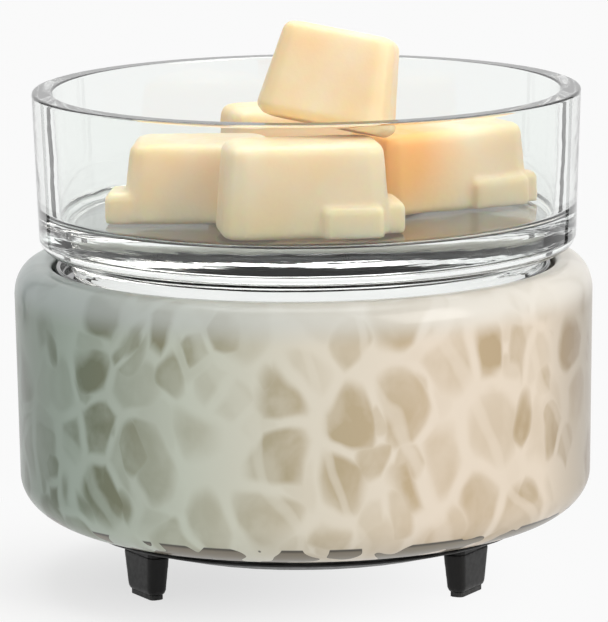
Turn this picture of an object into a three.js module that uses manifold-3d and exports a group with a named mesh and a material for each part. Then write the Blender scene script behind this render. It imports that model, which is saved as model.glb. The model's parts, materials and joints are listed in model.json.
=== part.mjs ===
// Electric candle warmer: a blown glass housing on three short feet, a black hot plate
// in its open top, and a heavy clear glass dish of wax melts standing on the hot plate.
// Millimetres, +Z up, origin on the surface it stands on, under the middle.
// Angles round the body are counted from the front (-Y) towards the right (+X).

import * as THREE from 'three';
import { mergeVertices } from 'three/addons/utils/BufferGeometryUtils.js';
import Module from 'manifold-3d';

const wasm = await Module();
wasm.setup();

// Sizes of the glass housing
const housingRadius = 61; // at the top of the wall, its widest
const housingTaper = 0.5; // how much narrower the wall is at its lower end
const housingWall = 4.5;
const housingHeight = 54.8; // ground lower edge to crest of the lip
const shoulderRun = 4.9;
const shoulderRise = 6.6;
const lipLand = 1.3; // flat of the crest
const lipRound = 1.8; // inner rounding of the lip
const ledgeWidth = 4.8; // seat of the plate gasket
const ledgeDepth = 5.4; // below the crest
const neckLength = 3.2;
const heelRun = 13.4;
const heelRise = 9.8;
const landWidth = 2.6; // flat ground ring that stands on the base gasket
const insideTurn = 70; // degrees that the shoulder's inside turns before it meets the neck

// Sizes of the wax dish
const dishHeight = 38.7;
const dishOverhang = 7.8; // rim beyond foot
const dishTaper = 1; // how much narrower the wall is at its lower end
const dishWall = 4.3;
const dishFloor = 13.1;
const dishFootHeight = 5.1;
const dishCornerRound = 3.2;
const dishBevel = 0.7; // ground edges of the rim
const dishFillet = 1.6; // between wall and floor inside
const footFillet = 1.2; // lower edge of the dish's foot

// Sizes of the hot plate and what hangs under it
const plateThickness = 1.2;
const plateRim = 2.2; // rim above the plate's face
const plateGasketThickness = 1.2;
const plateGasketWidth = 2.8;
const studRadius = 2;
const studLength = 23.4;
const studInset = 14.2; // stud circle inside the neck
const spreaderThickness = 2;
const micaThickness = 0.5;
const ribbonThickness = 0.4;
const ribbonWidth = 2.6;
const ribbonPitch = 5;
const tabLength = 4.5; // of the ribbon's tabs under the clamp plate
const tabWidth = 4;
const tabThickness = 0.8;
const clampThickness = 1;
const clampRim = 3;
const nutAcrossFlats = 7;
const nutHeight = 3.2;
const spacerLength = 9.3;
const spacerRadius = 3.5;
const shieldThickness = 0.8;
const shieldRim = 11;
const shieldBend = 2;
const postRadius = 4;
const postSpare = 1; // of each tapped hole beyond the thread in it

// Sizes of the base plate, its gasket, feet and screws
const baseFloor = 2.2;
const baseDepth = 3.3; // underside to top of the flange
const baseFlat = 7; // flat underside inside the mouth of the glass
const baseBelly = 1.5; // how far the middle of the underside hangs lower
const bellyInset = 14.5; // its flat inside the mouth of the glass
const bellyRun = 1.5; // of its slope
const flangeOverlap = 3; // flange beyond the mouth of the glass
const flangeEdge = 0.5;
const spigotHeight = 4.5; // upstand that centres the glass, above the flange
const spigotWall = 1.6;
const spigotLead = 0.6; // chamfer that leads the glass in
const baseGasketThickness = 1;
const baseGasketWidth = 2.6;
const bossRadius = 5;
const bossHeight = 7.5; // above the floor of the base plate
const ribThickness = 1.6;
const ribHeight = 3;
const ribRingInset = 21.5; // ring of ribs inside the mouth of the glass
const ventWidth = 2.4;
const ventLength = 11;
const ventCorner = 1;
const footHeight = 8.4; // without its pad
const footWidth = 13; // along the rim, at the top
const footThickness = 5; // across the rim, at the top
const footDraft = 1.1; // how much narrower each end is at the bottom
const footLean = 0.4; // how much thinner each face is at the bottom
const footCorner = 1.4;
const footToe = 0.8; // chamfer at the bottom of the foot
const footInset = 5.9; // foot circle inside the mouth of the glass
const padThickness = 1;
const padInset = 0.2;
const pinHeight = 1.2; // of the foot's locating pin
const pinRadius = 1.9;
const screwRadius = 1.8;
const screwHeadRadius = 3.6;
const screwHeadHeight = 2.3;
const screwReach = 9; // thread inside the tie post
const footScrewRadius = 1.1;
const footScrewHeadRadius = 2.3;
const footScrewHeadHeight = 1.6;
const footScrewReach = 6;
const slotWidth = 0.8;
const slotDepth = 0.7;
const tipShare = 0.6; // of a screw's tip to its thread
const crownShare = 0.6; // of the side of a screw's head to its height
const crownFlat = 0.75; // of the flat on a screw's head to its radius
const inletOffset = 17; // cord inlet to the right of the rear foot
const inletBore = 4.4;
const inletWall = 1.4;
const inletLength = 17;
const bushingWall = 1;
const bushingLength = 9;

// Sizes of the switch gear inside
const thermostatRadius = 6.6;
const thermostatCapRadius = 7.9;
const thermostatCapHeight = 3;
const thermostatHeight = 9;
const thermostatCapRound = 0.8;
const bladeWidth = 4;
const bladeLength = 5;
const bladeThickness = 0.8;
const bladeSink = 3; // of each blade in the body
const strapThickness = 0.8;
const strapBand = 2.4; // of the strap beside the thermostat
const strapEar = 6;
const rivetRadius = 1.2;
const rivetHeadRadius = 2.4;
const rivetHeadHeight = 1;
const rivetHeadRound = 0.5;
const fuseRadius = 2;
const fuseLength = 11;
const fuseWire = 4;
const fuseWireRadius = 0.5;
const fuseTaper = 1;
const clipWidth = 5;
const clipEar = 4;
const blockLength = 22;
const blockWidth = 14;
const blockHeight = 9;
const blockScrewReach = 1.4; // thread in the floor of the base plate
const terminalScrewHeadRadius = 1.9;
const terminalScrewHeadHeight = 1.4;
const chamberDepth = 4; // open top of each terminal
const chamberWall = 3; // at the front and back of each terminal
const leadRadius = 1;
const leadRun = 4; // of each lead before it bends
const leadDrop = 5; // of the leads under the clamp plate
const leadHoleRadius = 3;
const leadHoleRun = 6; // of each hole outside the switch gear
const leadHoleInset = 11; // of each hole in front of the middle

// Sizes of the wax melts, each broken off by hand and of its own size
const melts = {
  front: {
    length: 34, width: 19, height: 18.9, draft: 1.3, at: [-1, -32.3], turn: [0, 0, 8.5],
    webs: [{ x: 15.6, y: 1, length: 9, width: 14 }, { x: 8.8, y: -8.5, length: 12.5, width: 5.5 }],
  },
  left: {
    length: 31, width: 22, height: 16.4, draft: 1.6, at: [-22, -11], turn: [0, 0, -2],
    webs: [{ x: -15.5, y: -4, length: 6.6, width: 12 }],
  },
  right: {
    length: 38.5, width: 19, height: 17, draft: 1.2, at: [27.3, 1.1], turn: [0, 0, 31],
    webs: [{ x: 10, y: -8.5, length: 14.5, width: 5 }, { x: 17, y: -4, length: 8.6, width: 10 }],
  },
  back: {
    length: 31, width: 19, height: 18.9, draft: 1.4, at: [-3.4, 22.5], turn: [0, 0, 16],
    webs: [{ x: -14, y: 0, length: 8, width: 11 }],
  },
  top: {
    length: 28, width: 18, height: 19.9, draft: 2.4, at: [3.6, -21.9], turn: [-12, 10, -11],
    foot: 1.6, webs: [],
  },
};
const meltCorner = 4;
const meltEdge = 2.2; // rounding at the small end
const meltFoot = 0.8; // rounding at the wide end where it is not given
const webHeight = 6.4;
const webEdge = 1.2;

// Clearances
const seatGap = 0.3; // between the dish and the hot plate
const plateClearance = 0.7; // round the hot plate's rim
const dishClearance = 1.3; // round the dish's foot
const dropInClearance = 2.2; // of the element through the neck
const spigotClearance = 0.5; // between base plate and glass
const fitGap = 0.3; // round pins, screws, studs and cut seats
const gearClearance = 1.1; // between the switch gear and the nuts beside it

// Overlaps of shapes that are joined or cut
const sink = 0.5; // how deep a rib or boss starts in what it stands on
const past = 1; // how far a cutting shape runs past what it cuts

// Facets
const roundFacets = 44;
const hiddenFacets = 20;
const boltFacets = 8;
const boreFacets = 16;
const hexFacets = 6;
const wireFacets = 6;
const arcSteps = 4;
const heelSteps = 6;
const edgeSteps = 3;
const bendSteps = 2;
const wireSteps = 4; // of a wire beyond one for each of its points

// Heights worked out from the sizes, from the ground up
const baseZ = footHeight + padThickness;
const baseFloorZ = baseZ + baseFloor;
const flangeZ = baseZ + baseDepth;
const glassBottomZ = flangeZ + baseGasketThickness;
const glassTopZ = glassBottomZ + housingHeight;
const ledgeZ = glassTopZ - ledgeDepth;
const plateUnderZ = ledgeZ + plateGasketThickness;
const plateZ = plateUnderZ + plateThickness;
const dishZ = plateZ + seatGap;
const dishFloorZ = dishZ + dishFloor;
const rimZ = dishZ + dishHeight;
const spreaderZ = plateUnderZ - spreaderThickness;
const micaUpperZ = spreaderZ - micaThickness;
const ribbonZ = micaUpperZ - ribbonThickness;
const cardZ = ribbonZ - micaThickness;
const micaLowerZ = cardZ - micaThickness;
const clampZ = micaLowerZ - clampThickness;
const nutZ = clampZ - nutHeight;
const shieldZ = nutZ - spacerLength;
const postTopZ = shieldZ - shieldThickness;
const bossTopZ = baseFloorZ + bossHeight;
const studEndZ = plateUnderZ - studLength;
const inletZ = flangeZ - inletWall / 2 - inletBore;

// Radii worked out from the sizes, from the outside in
const recessRadius = housingRadius - shoulderRun - lipLand - lipRound;
const neckRadius = recessRadius - ledgeWidth;
const heelStart = housingRadius - housingTaper - heelRun;
const mouthRadius = heelStart - landWidth;
const flangeRadius = mouthRadius + flangeOverlap;
const spigotRadius = mouthRadius - spigotClearance;
const panRadius = recessRadius - plateClearance;
const dishFootRadius = panRadius - plateThickness - dishClearance;
const dishRadius = dishFootRadius + dishOverhang;
const spreaderRadius = neckRadius - dropInClearance;
const micaRadius = spreaderRadius - 2 * fitGap;
const clampRadius = spreaderRadius - fitGap;
const shieldRadius = neckRadius - 2 * fitGap;
const studCircle = neckRadius - studInset;
const footCircle = mouthRadius - footInset;
const studHole = studRadius + fitGap;
const nutCorner = nutAcrossFlats / Math.sqrt(3);
const strapHalf = thermostatRadius + fitGap + strapBand;
const ribRingRadius = mouthRadius - ribRingInset;
const ribbonReach = studCircle - studHole - ribbonWidth / 2 - 2 * fitGap;
const ribbonRows = 2 * Math.floor((ribbonReach - tabWidth) / ribbonPitch) + 1;

const footAngles = { left: -60, right: 60, rear: 180 };
const studAngles = { front: 0, right: 120, left: 240 };
const ribAngles = [30, 90, 210, 270, 330];
const ventTurn = 9; // of each vent from its rib

// Places of the inner pieces in plan
const gearX = polar(studCircle, studAngles.right).x - nutCorner - strapHalf - gearClearance;
const thermostatPlace = new THREE.Vector2(-gearX, 0);
const fusePlace = new THREE.Vector2(gearX, 0);
const blockPlace = new THREE.Vector2(0, 0);
const leadHoles = [-1, 1].map((side) =>
  new THREE.Vector2(side * (gearX + leadHoleRun), -leadHoleInset));

// Shapes

/** Joined-up solid of a closed geometry, for cutting and joining. */
function solid(geometry) {
  const bare = geometry.clone();
  bare.deleteAttribute('normal');
  bare.deleteAttribute('uv');
  const merged = mergeVertices(bare, 1e-4);
  const index = merged.index.array;
  const faces = [];
  for (let i = 0; i < index.length; i += 3) {
    const [a, b, c] = [index[i], index[i + 1], index[i + 2]];
    if (a !== b && b !== c && c !== a) faces.push(a, b, c);
  }
  return new wasm.Manifold(new wasm.Mesh({
    numProp: 3,
    vertProperties: new Float32Array(merged.attributes.position.array),
    triVerts: new Uint32Array(faces),
  }));
}

/** Geometry of a solid. */
function skin(body) {
  const mesh = body.getMesh();
  const geometry = new THREE.BufferGeometry();
  geometry.setAttribute('position', new THREE.BufferAttribute(mesh.vertProperties, 3));
  geometry.setIndex(new THREE.BufferAttribute(mesh.triVerts, 1));
  return geometry;
}

const join = (first, ...rest) => rest.reduce((whole, piece) => whole.add(piece), first);
const cut = (first, ...rest) => rest.reduce((whole, piece) => whole.subtract(piece), first);

/** Point on a circle round the axis, angle in degrees from the front. */
function polar(radius, degrees, z = 0) {
  const angle = THREE.MathUtils.degToRad(degrees);
  return new THREE.Vector3(radius * Math.sin(angle), -radius * Math.cos(angle), z);
}

/** Quarter of an ellipse as points, from one angle to another in degrees. */
function arc(r, z, across, up, from, to, steps = arcSteps) {
  return Array.from({ length: steps + 1 }, (_, i) => {
    const angle = THREE.MathUtils.degToRad(from + ((to - from) * i) / steps);
    return [r + across * Math.cos(angle), z + up * Math.sin(angle)];
  });
}

/** Solid of revolution about Z from (radius, height) points. */
function revolve(profile, facets = roundFacets, onAxis = false) {
  const points = profile.map(([r, z]) => new THREE.Vector2(r, z));
  if (THREE.ShapeUtils.area(points) < 0) points.reverse();
  if (!onAxis) points.push(points[0].clone());
  return new THREE.LatheGeometry(points, facets).rotateX(Math.PI / 2);
}

const disc = (radius, z0, z1, facets = hiddenFacets) =>
  revolve([[0, z0], [radius, z0], [radius, z1], [0, z1]], facets, true);

const ring = (inner, outer, z0, z1, facets = hiddenFacets) =>
  revolve([[inner, z0], [outer, z0], [outer, z1], [inner, z1]], facets);

/** Upright cylinder between two heights. */
function rod(radius, z0, z1, place = { x: 0, y: 0 }, facets = boltFacets) {
  return new THREE.CylinderGeometry(radius, radius, z1 - z0, facets)
    .rotateX(Math.PI / 2)
    .translate(place.x, place.y, (z0 + z1) / 2);
}

/** Drill that goes right through whatever lies between two heights. */
const drill = (radius, z0, z1, place, facets) =>
  solid(rod(radius, z0 - past, z1 + past, place, facets));

/** Upright block round a place, between two heights. */
function block(length, width, z0, z1, place = { x: 0, y: 0 }) {
  return new THREE.BoxGeometry(length, width, z1 - z0)
    .translate(place.x, place.y, (z0 + z1) / 2);
}

/** Outline of a rectangle with round corners, centred on the origin. */
function roundedRectangle(length, width, corner, steps = bendSteps) {
  const centres = [[1, 1, 0], [-1, 1, 90], [-1, -1, 180], [1, -1, 270]];
  return centres.flatMap(([sx, sy, start]) => arc(
    sx * (length / 2 - corner), sy * (width / 2 - corner), corner, corner, start, start + 90, steps,
  ));
}

/** Closed solid through outlines of equal count, each at its own height. */
function loft(levels) {
  const count = levels[0].outline.length;
  const positions = levels.flatMap(({ outline, z }) => outline.flatMap(([x, y]) => [x, y, z]));
  const faces = [];
  for (let level = 0; level < levels.length - 1; level += 1) {
    for (let i = 0; i < count; i += 1) {
      const a = level * count + i;
      const b = level * count + ((i + 1) % count);
      faces.push(a, b, b + count, a, b + count, a + count);
    }
  }
  const last = (levels.length - 1) * count;
  for (let i = 1; i < count - 1; i += 1) {
    faces.push(0, i + 1, i);
    faces.push(last, last + i, last + i + 1);
  }
  const geometry = new THREE.BufferGeometry();
  geometry.setAttribute('position', new THREE.Float32BufferAttribute(positions, 3));
  geometry.setIndex(faces);
  return geometry;
}

/** Outline of a whole circle. */
const circle = (radius, facets) => arc(0, 0, radius, radius, 0, 360 - 360 / facets, facets - 1);

/** Flat shape given as points, raised between two heights. */
function prism(points, z0, z1) {
  const shape = new THREE.Shape(points.map(([x, y]) => new THREE.Vector2(x, y)));
  return new THREE.ExtrudeGeometry(shape, { depth: z1 - z0, bevelEnabled: false })
    .translate(0, 0, z0);
}

/** Outline in X and Z carried along Y, centred on Y = 0. */
function sweepAlongY(points, width) {
  const shape = new THREE.Shape(points.map(([x, z]) => new THREE.Vector2(x, z)));
  return new THREE.ExtrudeGeometry(shape, { depth: width, bevelEnabled: false })
    .rotateX(Math.PI / 2)
    .translate(0, width / 2, 0);
}

/** Wire in its sleeve through points. */
function wire(points) {
  const section = new THREE.Shape(
    circle(leadRadius, wireFacets).map(([x, y]) => new THREE.Vector2(x, y)),
  );
  const path = new THREE.CatmullRomCurve3(points, false, 'centripetal');
  const steps = points.length + wireSteps;
  return new THREE.ExtrudeGeometry(section, { steps, extrudePath: path, bevelEnabled: false });
}

// Finishes

const finish = (color, roughness, metalness = 0, extra = {}) =>
  new THREE.MeshStandardMaterial({ color, roughness, metalness, ...extra });

const casedGlass = finish(0xc9c2b4, 0.08);
const clearGlass = finish(0xe6ecea, 0.03, 0, { transparent: true, opacity: 0.35 });
const wax = finish(0xf5e3c0, 0.45);
const blackEnamel = finish(0x191919, 0.35, 0.2);
const blackPlastic = finish(0x1c1b1a, 0.55);
const silicone = finish(0x2b2b2b, 0.8);
const aluminium = finish(0xc4c6c8, 0.4, 1);
const mica = finish(0xb9ab8c, 0.6);
const nichrome = finish(0x8f8a84, 0.45, 1);
const steel = finish(0xa9abad, 0.4, 1);
const ceramic = finish(0xe7e2d6, 0.5);
const sleeve = finish(0xd9d4c6, 0.9);

// Glass housing and its two gaskets

function glassHousing() {
  const wallTopZ = glassTopZ - shoulderRise;
  const heelZ = glassBottomZ + heelRise;
  const wallBottom = housingRadius - housingTaper;
  const neckEndZ = ledgeZ - neckLength;
  const insideTopZ = neckEndZ - shoulderRise;
  const insideTop = housingRadius - housingWall;
  const insideBottom = wallBottom - housingWall;
  return revolve([
    [mouthRadius, glassBottomZ],
    ...arc(heelStart, heelZ, heelRun, heelRise, 270, 360, heelSteps),
    ...arc(housingRadius - shoulderRun, wallTopZ, shoulderRun, shoulderRise, 0, 90),
    ...arc(recessRadius + lipRound, glassTopZ - lipRound, lipRound, lipRound, 90, 180, bendSteps),
    [recessRadius, ledgeZ],
    [neckRadius, ledgeZ],
    [neckRadius, neckEndZ],
    ...arc(neckRadius, insideTopZ, insideTop - neckRadius, shoulderRise, insideTurn, 0, bendSteps),
    ...arc(heelStart, heelZ, insideBottom - heelStart, heelRise - housingWall, 0, -90, edgeSteps),
    [mouthRadius, heelZ - heelRise + housingWall],
  ]);
}

const plateGasket = () =>
  ring(neckRadius + fitGap, neckRadius + fitGap + plateGasketWidth, ledgeZ, plateUnderZ);

const baseGasket = () =>
  ring(mouthRadius + fitGap, mouthRadius + baseGasketWidth, flangeZ, glassBottomZ);

// Hot plate with its welded studs, and the element that hangs on them

function studs(radius, z0, z1) {
  return Object.values(studAngles).map((angle) => solid(rod(radius, z0, z1, polar(studCircle, angle))));
}

const studHoles = (z0, z1) => studs(studHole, z0 - past, z1 + past);

function hotPlate() {
  const inner = panRadius - plateThickness;
  const rimTopZ = plateZ + plateRim;
  const edge = plateThickness / 2;
  const pan = revolve([
    [0, plateUnderZ],
    ...arc(inner, plateZ, plateThickness, plateThickness, 270, 360, bendSteps),
    ...arc(panRadius - edge, rimTopZ - edge, edge, edge, 0, 180, edgeSteps),
    [inner, plateZ + edge],
    [inner - edge, plateZ],
    [0, plateZ],
  ], roundFacets, true);
  return skin(join(solid(pan), ...studs(studRadius, studEndZ, plateUnderZ + plateThickness / 2)));
}

const drilledDisc = (radius, z0, z1) =>
  cut(solid(disc(radius, z0, z1)), ...studHoles(z0, z1));

/** Where the ribbon starts and ends, and its tabs go down. */
function ribbonRow(row) {
  const y = (row - (ribbonRows - 1) / 2) * ribbonPitch;
  return { y, half: Math.sqrt(ribbonReach ** 2 - y ** 2) };
}

const tabPlaces = [0, ribbonRows - 1].map((row) => {
  const { y, half } = ribbonRow(row);
  return new THREE.Vector2((row === 0 ? -1 : 1) * (half - tabWidth / 2), y);
});

const tabWindows = (z0, z1) => tabPlaces.map((place) =>
  solid(block(tabWidth + 2 * fitGap, tabThickness + 2 * fitGap, z0 - past, z1 + past, place)));

/** Flat ribbon that runs to and fro in rows, with a tab bent down at each end. */
function heaterRibbon() {
  const pieces = [];
  for (let row = 0; row < ribbonRows; row += 1) {
    const here = ribbonRow(row);
    pieces.push(block(2 * here.half, ribbonWidth, ribbonZ, micaUpperZ, { x: 0, y: here.y }));
    if (row === ribbonRows - 1) break;
    const next = ribbonRow(row + 1);
    const outer = Math.max(here.half, next.half);
    const length = ribbonWidth + outer - Math.min(here.half, next.half);
    const side = row % 2 === 0 ? 1 : -1;
    const turn = { x: side * (outer - length / 2), y: (here.y + next.y) / 2 };
    pieces.push(block(length, ribbonPitch, ribbonZ, micaUpperZ, turn));
  }
  for (const place of tabPlaces) {
    pieces.push(block(tabWidth, tabThickness, clampZ - tabLength, micaUpperZ, place));
  }
  return skin(join(...pieces.map(solid)));
}

const windowedDisc = (z0, z1) =>
  skin(cut(drilledDisc(micaRadius, z0, z1), ...tabWindows(z0, z1)));

const rivetPlaces = [-1, 1].map((side) => new THREE.Vector2(
  thermostatPlace.x,
  side * (thermostatCapRadius + fitGap + strapThickness + strapEar / 2),
));

function clampPlate() {
  const inner = clampRadius - clampThickness;
  const pan = revolve([
    [0, clampZ],
    [inner, clampZ],
    [inner, clampZ - clampRim],
    [clampRadius, clampZ - clampRim],
    [clampRadius, micaLowerZ],
    [0, micaLowerZ],
  ], hiddenFacets, true);
  const rivetHoles = rivetPlaces.map((place) =>
    drill(rivetRadius + fitGap, clampZ, micaLowerZ, place));
  return skin(cut(solid(pan), ...studHoles(clampZ, micaLowerZ),
    ...tabWindows(clampZ, micaLowerZ), ...rivetHoles));
}

function clampNut() {
  const nut = rod(nutCorner, 0, nutHeight, undefined, hexFacets);
  return skin(cut(solid(nut), drill(studHole, 0, nutHeight)));
}

const shieldSpacer = () => ring(studHole, spacerRadius, 0, spacerLength, boltFacets);

function heatShield() {
  const inner = shieldRadius - shieldThickness;
  const innerBend = shieldBend - shieldThickness;
  const pan = revolve([
    [0, postTopZ],
    ...arc(shieldRadius - shieldBend, postTopZ + shieldBend, shieldBend, shieldBend, 270, 360,
      bendSteps),
    [shieldRadius, shieldZ + shieldRim],
    [inner, shieldZ + shieldRim],
    ...arc(inner - innerBend, shieldZ + innerBend, innerBend, innerBend, 360, 270, bendSteps),
    [0, shieldZ],
  ], hiddenFacets, true);
  const holes = leadHoles.map((place) => drill(leadHoleRadius, postTopZ, shieldZ, place));
  return skin(cut(solid(pan), ...studHoles(postTopZ, shieldZ), ...holes));
}

/** Post tapped at both ends: the stud screws in from above, the base screw from below. */
function tiePost() {
  const post = disc(postRadius, bossTopZ, postTopZ, boltFacets);
  const top = rod(studHole, studEndZ - postSpare, postTopZ + past);
  const bottom = rod(screwRadius + fitGap, bossTopZ - past, bossTopZ + screwReach + postSpare);
  return skin(cut(solid(post), solid(top), solid(bottom)));
}

// Thermostat, fuse and what holds them under the clamp plate

function thermostat() {
  const capZ = -thermostatCapHeight;
  const body = revolve([
    [0, 0],
    [thermostatCapRadius - thermostatCapRound, 0],
    [thermostatCapRadius, -thermostatCapRound],
    [thermostatCapRadius, capZ],
    [thermostatRadius, capZ],
    [thermostatRadius, -thermostatHeight],
    [0, -thermostatHeight],
  ], boreFacets, true);
  const bladeZ = -thermostatHeight + bladeThickness;
  const blades = [-1, 1].map((side) => solid(block(
    bladeWidth, bladeLength + bladeSink, bladeZ, bladeZ + bladeThickness,
    { x: 0, y: side * (thermostatRadius + bladeLength / 2 - bladeSink / 2) },
  )));
  return skin(join(solid(body), ...blades));
}

/** Hat-shaped strap under the flange of the thermostat's cap. */
function thermostatBracket() {
  const low = -thermostatCapHeight;
  const legIn = thermostatCapRadius + fitGap;
  const legOut = legIn + strapThickness;
  const tip = legOut + strapEar;
  const t = strapThickness;
  const half = [[0, low], [legIn, low], [legIn, 0], [tip, 0], [tip, -t], [legOut, -t],
    [legOut, low - t], [0, low - t]];
  const outline = [...half, ...half.slice(1, -1).reverse().map(([x, z]) => [-x, z])];
  const strap = sweepAlongY(outline, 2 * strapHalf).rotateZ(Math.PI / 2);
  const hole = drill(thermostatRadius + fitGap, low - t, low, undefined, boreFacets);
  const rivetHoles = rivetPlaces.map(({ y }) => drill(rivetRadius + fitGap, -t, 0, { x: 0, y }));
  return skin(cut(solid(strap), hole, ...rivetHoles));
}

function bracketRivet() {
  const headZ = -strapThickness - rivetHeadHeight;
  return revolve([
    [0, headZ],
    [rivetHeadRadius - rivetHeadRound, headZ],
    [rivetHeadRadius, headZ + rivetHeadRound],
    [rivetHeadRadius, -strapThickness],
    [rivetRadius, -strapThickness],
    [rivetRadius, clampThickness],
    [0, clampThickness],
  ], boltFacets, true);
}

function thermalFuse() {
  const [half, end] = [fuseLength / 2, fuseLength / 2 + fuseWire];
  return revolve([
    [0, -end],
    [fuseWireRadius, -end],
    [fuseWireRadius, -half],
    [fuseRadius, -half + fuseTaper],
    [fuseRadius, half - fuseTaper],
    [fuseWireRadius, half],
    [fuseWireRadius, end],
    [0, end],
  ], boltFacets, true).rotateX(Math.PI / 2);
}

/** Strap that holds the fuse up against the clamp plate. */
function fuseClip() {
  const inner = fuseRadius + fitGap;
  const outer = inner + strapThickness;
  const t = strapThickness;
  const tip = outer + clipEar;
  return sweepAlongY([
    [tip, 0], [inner, 0],
    ...arc(0, -inner, inner, inner, 0, -180, 2 * arcSteps),
    [-inner, 0], [-tip, 0], [-tip, -t], [-outer, -t],
    ...arc(0, -inner, outer, outer, -180, 0, 2 * arcSteps),
    [outer, -t], [tip, -t],
  ], clipWidth);
}

// Terminal block and leads

const terminalX = blockLength / 4;

function terminalBlock() {
  const chamber = (x) => solid(block(blockLength / 4, blockWidth - 2 * chamberWall,
    blockHeight - chamberDepth, blockHeight + past, { x, y: 0 }));
  const channel = (x) => solid(rod(leadRadius + fitGap, -blockWidth, blockWidth)
    .rotateX(Math.PI / 2).translate(x, 0, blockHeight / 3));
  const thread = (x) => solid(rod(leadRadius + fitGap, blockHeight / 3, blockHeight, { x, y: 0 }));
  return skin(cut(
    solid(block(blockLength, blockWidth, 0, blockHeight)),
    chamber(-terminalX), chamber(terminalX), channel(-terminalX), channel(terminalX),
    thread(-terminalX), thread(terminalX),
    drill(footScrewRadius + fitGap, 0, blockHeight),
    solid(rod(footScrewHeadRadius + fitGap, blockHeight - footScrewHeadHeight, blockHeight + past)),
  ));
}

/** Slotted pan-head screw, tip down, with the underside of its head at zero. */
function screw(radius, length, headRadius, headHeight) {
  const shape = revolve([
    [0, -length],
    [radius * tipShare, -length],
    [radius, -length + radius * (1 - tipShare)],
    [radius, 0],
    [headRadius, 0],
    [headRadius, headHeight * crownShare],
    [headRadius * crownFlat, headHeight],
    [0, headHeight],
  ], boltFacets, true);
  const slot = block(3 * headRadius, slotWidth, headHeight - slotDepth, headHeight + past);
  return skin(cut(solid(shape), solid(slot)));
}

/** Points along each lead, from where it starts to where it ends. */
function leadRoutes() {
  const at = (x, y, z) => new THREE.Vector3(x, y, z);
  const blockFront = blockPlace.y - blockWidth / 2 - fitGap;
  const blockLeadZ = baseFloorZ + blockHeight / 3;
  const under = clampZ - leadDrop;
  const bladeZ = clampZ - thermostatHeight + bladeThickness + bladeThickness / 2;
  const bladeEnd = thermostatRadius + bladeLength + fitGap + leadRadius;
  const fuseEnd = fuseLength / 2 + fuseWire + fitGap;
  const fuseZ = clampZ - fuseRadius - fitGap;
  const tabZ = clampZ - tabLength + leadRadius;
  const tabGap = tabThickness / 2 + fitGap + leadRadius;
  const bend = leadRun / 2;
  const [left, right] = leadHoles;
  const [tabLeft, tabRight] = tabPlaces;
  const throughShield = ({ x, y }) => [
    at(x, y - bend, bossTopZ + 2 * leadRun),
    at(x, y, postTopZ - leadRun),
    at(x, y, shieldZ + bend),
  ];
  return {
    lead_live: [
      at(terminalX, blockFront, blockLeadZ),
      at(terminalX, blockFront - leadRun, blockLeadZ + leadRadius),
      ...throughShield(right),
      at(right.x + bend, 0, under),
      at(fusePlace.x + leadRun, fuseEnd + bend, fuseZ - leadRadius),
      at(fusePlace.x, fuseEnd + leadRun, fuseZ),
      at(fusePlace.x, fuseEnd, fuseZ),
    ],
    lead_link: [
      at(fusePlace.x, -fuseEnd, fuseZ),
      at(fusePlace.x - bend, -fuseEnd - leadRun, fuseZ - leadRadius),
      at(0, -fuseEnd - leadRun, under),
      at(thermostatPlace.x + leadRun, -bladeEnd - leadRun, bladeZ + leadRadius),
      at(thermostatPlace.x, -bladeEnd, bladeZ),
    ],
    lead_heater: [
      at(thermostatPlace.x, bladeEnd, bladeZ),
      at(thermostatPlace.x + leadRun, bladeEnd + leadRun, bladeZ + leadRadius),
      at(0, bladeEnd + leadRun, under),
      at(tabRight.x - bend, tabRight.y - tabGap - leadRun, tabZ - leadRadius),
      at(tabRight.x, tabRight.y - tabGap, tabZ),
    ],
    lead_neutral: [
      at(-terminalX, blockFront, blockLeadZ),
      at(-terminalX, blockFront - leadRun, blockLeadZ + leadRadius),
      ...throughShield(left),
      at(tabLeft.x - bend, tabLeft.y + tabGap + leadRun, under),
      at(tabLeft.x, tabLeft.y + tabGap, tabZ),
    ],
  };
}

// Base plate, inlet and feet

/** Outline of a foot, as much smaller than its top as told, its length along the rim. */
const footOutline = (endInset, faceInset) => roundedRectangle(
  footThickness - 2 * faceInset, footWidth - 2 * endInset, footCorner - faceInset / 2,
);

/** Outline of a foot's toe inside its chamfer, and of the smaller pad under it. */
const toeOutline = (inset) =>
  footOutline(footDraft + footToe / 2 + inset, footLean + footToe / 2 + inset);

/** Turns a geometry made at the front so that it stands on a circle at an angle. */
function onCircle(geometry, radius, degrees) {
  const place = polar(radius, degrees);
  return geometry.rotateZ(THREE.MathUtils.degToRad(degrees - 90)).translate(place.x, place.y, 0);
}

/** Half-round tunnel of the cord under the base plate, or its bore when round is true. */
function inletTunnel(radius, y0, y1, round) {
  const outline = round
    ? circle(radius, boreFacets)
    : [...arc(0, 0, radius, radius, 180, 360, boreFacets / 2),
      [radius, baseFloorZ - sink - inletZ], [-radius, baseFloorZ - sink - inletZ]];
  return sweepAlongY(outline, y1 - y0).translate(inletOffset, (y0 + y1) / 2, inletZ);
}

const inletEnd = Math.sqrt(flangeRadius ** 2 - inletOffset ** 2) - 2 * inletWall;

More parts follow.
